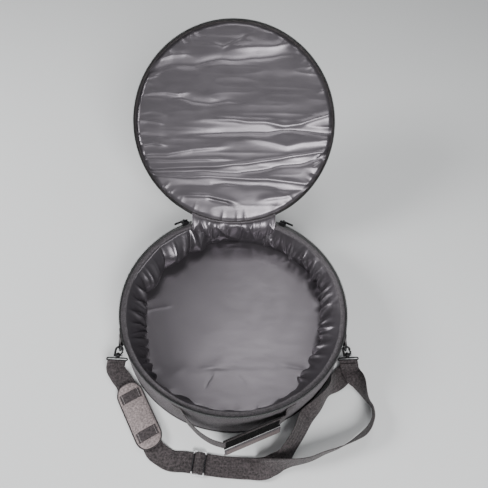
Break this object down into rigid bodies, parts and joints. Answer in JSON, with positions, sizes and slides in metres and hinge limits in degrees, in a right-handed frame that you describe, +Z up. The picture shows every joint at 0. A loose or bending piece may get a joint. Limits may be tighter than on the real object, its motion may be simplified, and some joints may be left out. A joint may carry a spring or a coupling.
{
  "type": "drum bag",
  "caption": "Round padded bag for a frame drum, standing open: zipped lid on a cloth hinge, wrap-grip carry handle and clip-on shoulder strap with adjuster and pad.",
  "frame": {"origin": "centre of the base's underside, on the surface that the bag stands on", "axes": "+Z up, +Y to the back where the lid is hinged, +X to the right seen from the front"},
  "size_m": [0.5551, 0.924, 0.407],
  "materials": {
    "outer_cloth": "woven, slightly sheened",
    "lining": "satin",
    "foam": "matt, hidden",
    "webbing": "ribbed weave",
    "pad_cloth": "melange felt",
    "zip_tape": "twill",
    "zip_coil": "satin",
    "closing_strip": "hook and pile",
    "black_metal": "semi-gloss black",
    "bright_metal": "bright nickel"
  },
  "bodies": {
    "root": {"base_panel": "outer_cloth", "base_foam": "foam", "base_lining": "lining", "base_piping": "outer_cloth", "wall_panel": "outer_cloth", "wall_foam": "foam", "wall_lining": "lining", "rim_facing": "outer_cloth", "body_zip_tape": "zip_tape", "body_zip_coil": "zip_coil", "hinge_fold": "lining", "left_ring_tab": "webbing", "right_ring_tab": "webbing", "left_handle_leg": "webbing", "right_handle_leg": "webbing", "strap_main": "webbing", "strap_return": "webbing"},
    "lid": {"lid_panel": "outer_cloth", "lid_foam": "foam", "lid_lining": "lining", "lid_piping": "outer_cloth", "lid_zip_tape": "zip_tape", "lid_zip_coil": "zip_coil", "lid_hinge_flap": "outer_cloth"},
    "left_slider": {"left_zip_slider": "black_metal"},
    "right_slider": {"right_zip_slider": "black_metal"},
    "left_pull": {"left_zip_pull": "black_metal"},
    "right_pull": {"right_zip_pull": "black_metal"},
    "left_ring": {"left_d_ring": "black_metal", "left_swivel_eye": "black_metal", "left_strap_loop": "webbing"},
    "right_ring": {"right_d_ring": "black_metal", "right_swivel_eye": "black_metal", "right_strap_loop": "webbing"},
    "left_hook": {"left_hook": "black_metal", "left_gate_pin": "bright_metal"},
    "right_hook": {"right_hook": "black_metal", "right_gate_pin": "bright_metal"},
    "left_gate": {"left_hook_gate": "black_metal"},
    "right_gate": {"right_hook_gate": "black_metal"},
    "handle": {"handle_strap": "webbing", "grip_sleeve": "outer_cloth", "grip_hook_strip": "closing_strip"},
    "grip_flap": {"grip_flap": "outer_cloth", "grip_pile_strip": "closing_strip"},
    "adjuster": {"strap_adjuster": "bright_metal"},
    "pad": {"shoulder_pad": "pad_cloth", "pad_backing": "pad_cloth", "pad_keeper_upper": "webbing", "pad_keeper_lower": "webbing"}
  },
  "joints": [
    {"name": "lid_hinge", "type": "hinge", "parent": "root", "child": "lid", "pos_m": [0, 0.226, 0.106], "axis": [1, 0, 0], "range_deg": [0, 139.6]},
    {"name": "left_zip_travel", "type": "hinge", "parent": "root", "child": "left_slider", "pos_m": [0, 0, 0.106], "axis": [0, 0, 1], "range_deg": [0, 143.5]},
    {"name": "right_zip_travel", "type": "hinge", "parent": "root", "child": "right_slider", "pos_m": [0, 0, 0.106], "axis": [0, 0, -1], "range_deg": [0, 143.5]},
    {"name": "left_pull_flip", "type": "hinge", "parent": "left_slider", "child": "left_pull", "pos_m": [-0.11958, 0.21498, 0.106], "axis": [0, 0, -1], "range_deg": [0, 170]},
    {"name": "right_pull_flip", "type": "hinge", "parent": "right_slider", "child": "right_pull", "pos_m": [0.11958, 0.21498, 0.106], "axis": [0, 0, 1], "range_deg": [0, 170]},
    {"name": "left_ring_swing", "type": "hinge", "parent": "root", "child": "left_ring", "pos_m": [-0.2329, -0.07343, 0.068], "axis": [-0.2626, 0.833, -0.487], "range_deg": [0, 40], "deforming": ["strap_main"]},
    {"name": "right_ring_swing", "type": "hinge", "parent": "root", "child": "right_ring", "pos_m": [0.2329, -0.07343, 0.068], "axis": [-0.2626, -0.833, 0.487], "range_deg": [0, 40], "deforming": ["strap_main", "strap_return"]},
    {"name": "left_hook_swivel", "type": "hinge", "parent": "left_ring", "child": "left_hook", "pos_m": [-0.2329, -0.07343, 0.068], "axis": [-0.2543, -0.5467, -0.7978], "range_deg": [-35, 35]},
    {"name": "right_hook_swivel", "type": "hinge", "parent": "right_ring", "child": "right_hook", "pos_m": [0.2329, -0.07343, 0.068], "axis": [0.2543, -0.5467, -0.7978], "range_deg": [-35, 35]},
    {"name": "left_gate_open", "type": "hinge", "parent": "left_hook", "child": "left_gate", "pos_m": [-0.23571, -0.09232, 0.03722], "axis": [0.2626, -0.833, 0.487], "range_deg": [0, 25], "stiffness_Nm_per_rad": 0.02, "springref_deg": -17.19},
    {"name": "right_gate_open", "type": "hinge", "parent": "right_hook", "child": "right_gate", "pos_m": [0.24819, -0.09347, 0.04198], "axis": [-0.2626, -0.833, 0.487], "range_deg": [0, 25], "stiffness_Nm_per_rad": 0.02, "springref_deg": -17.19},
    {"name": "handle_lift", "type": "hinge", "parent": "root", "child": "handle", "pos_m": [-0.08496, -0.24048, 0.089], "axis": [-0.9996, -0.0299, 0], "range_deg": [0, 40]},
    {"name": "grip_flap_close", "type": "hinge", "parent": "handle", "child": "grip_flap", "pos_m": [0.03612, -0.26373, 0.04945], "axis": [-0.9309, -0.3653, 0], "range_deg": [0, 178]},
    {"name": "adjuster_slide", "type": "slide", "parent": "root", "child": "adjuster", "axis": [0.9908, -0.135, 0], "range_m": [-0.04, 0.025], "deforming": ["strap_main", "strap_return"]},
    {"name": "pad_slide", "type": "slide", "parent": "root", "child": "pad", "axis": [0.497, -0.8678, 0], "range_m": [-0.015, 0.015], "deforming": ["strap_main"]}
  ]
}
